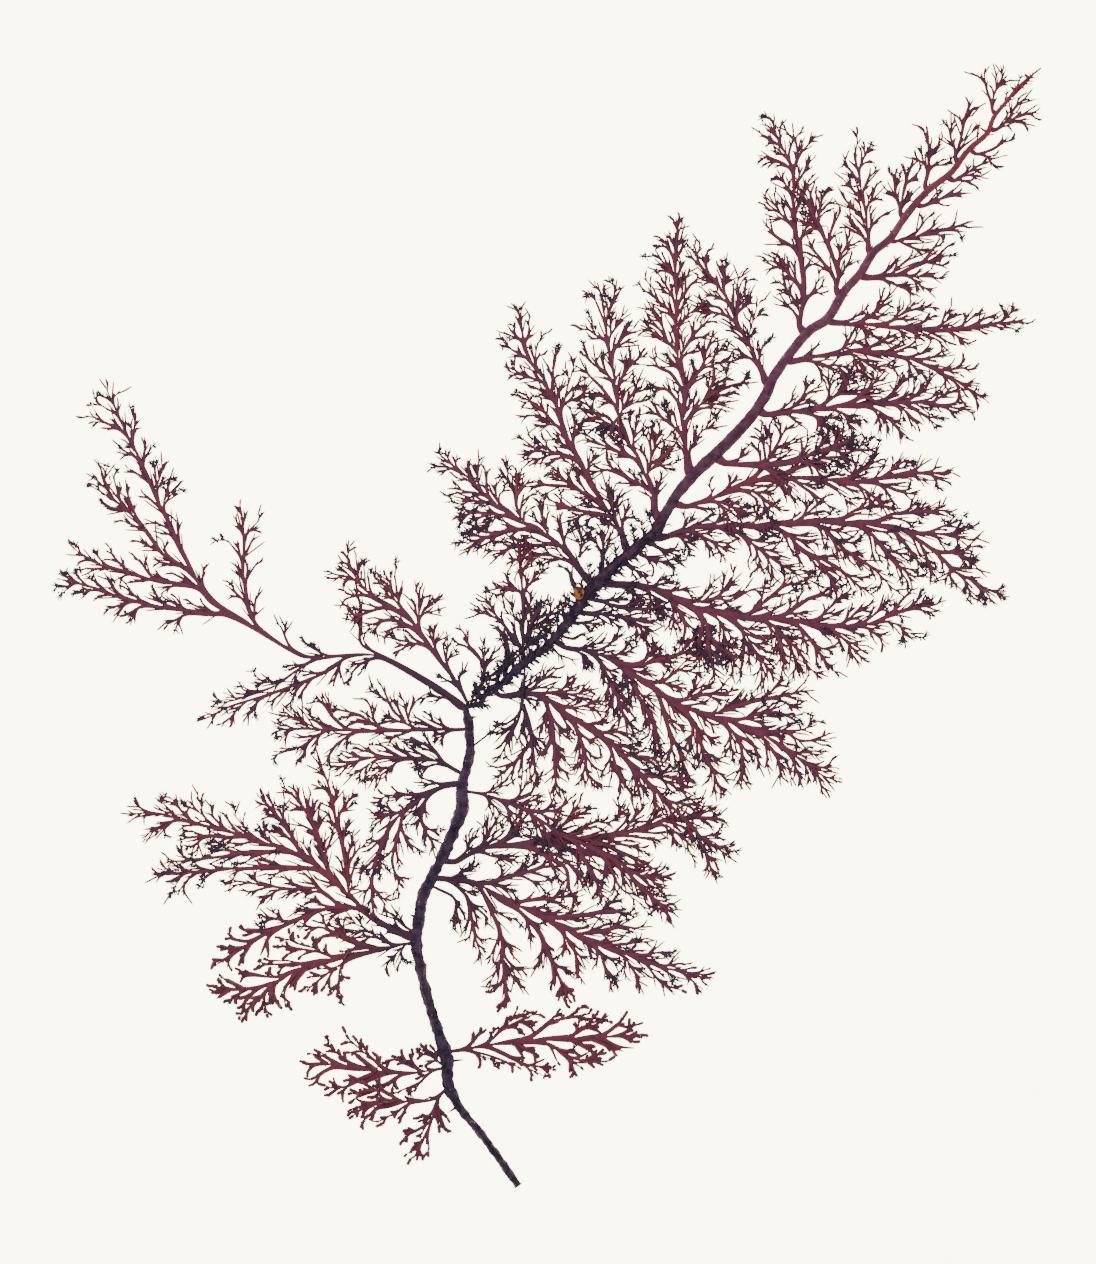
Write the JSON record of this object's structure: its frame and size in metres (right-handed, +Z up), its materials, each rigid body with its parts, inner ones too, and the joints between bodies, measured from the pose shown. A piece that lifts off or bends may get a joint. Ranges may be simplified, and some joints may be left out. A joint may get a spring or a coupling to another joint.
{
  "type": "pressed red seaweed",
  "caption": "Dried, pressed red seaweed lying flat: a crooked main axis with side fronds that branch again and again into fine pointed branchlets.",
  "frame": {"origin": "middle of the outline seen from above, at the level of the surface it lies on", "axes": "+X to the right and +Y up the page as the plant is seen from above, +Z up from the surface; the main axis runs from its broken foot at low Y to its tip at high X and Y"},
  "size_m": [0.1971, 0.224, 0.004],
  "materials": {
    "main_axis": "matt, wrinkled",
    "crusty_growth": "matt, crusty",
    "frond_foot_right": "matt, dried",
    "frond_foot_left": "matt, dried",
    "twig_foot_left": "matt, dried",
    "frond_foot_low": "matt, dried",
    "frond_left_low": "matt, dried",
    "frond_left_bend": "matt, dried",
    "frond_left_curl": "matt, dried",
    "twig_left_low": "matt, dried",
    "frond_right_low": "matt, dried",
    "twig_right_low": "matt, dried",
    "frond_right_mid": "matt, dried",
    "frond_right_thin": "matt, dried",
    "frond_left_mid": "matt, dried",
    "frond_left_small": "matt, dried",
    "frond_left_long": "matt, dried",
    "frond_left_up": "matt, dried",
    "twig_left_dark": "matt, dried",
    "frond_centre_down": "matt, dried",
    "frond_centre_right": "matt, dried",
    "frond_right_centre": "matt, dried",
    "frond_right_long": "matt, dried",
    "frond_right_broad": "matt, dried",
    "frond_right_upper": "matt, dried",
    "frond_right_dense": "matt, dried",
    "frond_right_high": "matt, dried",
    "frond_right_arch": "matt, dried",
    "frond_right_top": "matt, dried",
    "frond_up_tall": "matt, dried",
    "frond_up_second": "matt, dried",
    "frond_up_third": "matt, dried",
    "frond_up_fourth": "matt, dried",
    "frond_up_fifth": "matt, dried",
    "frond_up_sixth": "matt, dried",
    "frond_up_last": "matt, dried",
    "frond_side_last": "matt, dried",
    "frond_side_ninth": "matt, dried",
    "frond_side_eighth": "matt, dried",
    "frond_side_seventh": "matt, dried",
    "frond_side_sixth": "matt, dried",
    "frond_side_fifth": "matt, dried",
    "frond_up_left": "matt, dried",
    "frond_up_broad": "matt, dried",
    "frond_up_centre": "matt, dried",
    "frond_up_leaning": "matt, dried",
    "frond_left_wide": "matt, dried",
    "frond_centre_up": "matt, dried",
    "frond_centre_left": "matt, dried",
    "frond_small_up": "matt, dried",
    "twig_small_up": "matt, dried",
    "twig_growth_left": "matt, dried",
    "twig_axis_right_top": "matt, dried",
    "twig_axis_right_high": "matt, dried",
    "twig_axis_right_mid": "matt, dried",
    "frond_axis_right_low": "matt, dried",
    "frond_axis_right_under": "matt, dried",
    "twig_axis_right_dark": "matt, dried",
    "twig_axis_right_foot": "matt, dried"
  },
  "bodies": {
    "root": {"main_axis": "main_axis", "crusty_growth": "crusty_growth", "frond_foot_right": "frond_foot_right", "frond_foot_left": "frond_foot_left", "twig_foot_left": "twig_foot_left", "frond_foot_low": "frond_foot_low", "frond_left_low": "frond_left_low", "frond_left_bend": "frond_left_bend", "frond_left_curl": "frond_left_curl", "twig_left_low": "twig_left_low", "frond_right_low": "frond_right_low", "twig_right_low": "twig_right_low", "frond_right_mid": "frond_right_mid", "frond_right_thin": "frond_right_thin", "frond_left_mid": "frond_left_mid", "frond_left_small": "frond_left_small", "frond_left_long": "frond_left_long", "frond_left_up": "frond_left_up", "twig_left_dark": "twig_left_dark", "frond_centre_down": "frond_centre_down", "frond_centre_right": "frond_centre_right", "frond_right_centre": "frond_right_centre", "frond_right_long": "frond_right_long", "frond_right_broad": "frond_right_broad", "frond_right_upper": "frond_right_upper", "frond_right_dense": "frond_right_dense", "frond_right_high": "frond_right_high", "frond_right_arch": "frond_right_arch", "frond_right_top": "frond_right_top", "frond_up_tall": "frond_up_tall", "frond_up_second": "frond_up_second", "frond_up_third": "frond_up_third", "frond_up_fourth": "frond_up_fourth", "frond_up_fifth": "frond_up_fifth", "frond_up_sixth": "frond_up_sixth", "frond_up_last": "frond_up_last", "frond_side_last": "frond_side_last", "frond_side_ninth": "frond_side_ninth", "frond_side_eighth": "frond_side_eighth", "frond_side_seventh": "frond_side_seventh", "frond_side_sixth": "frond_side_sixth", "frond_side_fifth": "frond_side_fifth", "frond_up_left": "frond_up_left", "frond_up_broad": "frond_up_broad", "frond_up_centre": "frond_up_centre", "frond_up_leaning": "frond_up_leaning", "frond_left_wide": "frond_left_wide", "frond_centre_up": "frond_centre_up", "frond_centre_left": "frond_centre_left", "frond_small_up": "frond_small_up", "twig_small_up": "twig_small_up", "twig_growth_left": "twig_growth_left", "twig_axis_right_top": "twig_axis_right_top", "twig_axis_right_high": "twig_axis_right_high", "twig_axis_right_mid": "twig_axis_right_mid", "frond_axis_right_low": "frond_axis_right_low", "frond_axis_right_under": "frond_axis_right_under", "twig_axis_right_dark": "twig_axis_right_dark", "twig_axis_right_foot": "twig_axis_right_foot"}
  },
  "joints": []
}
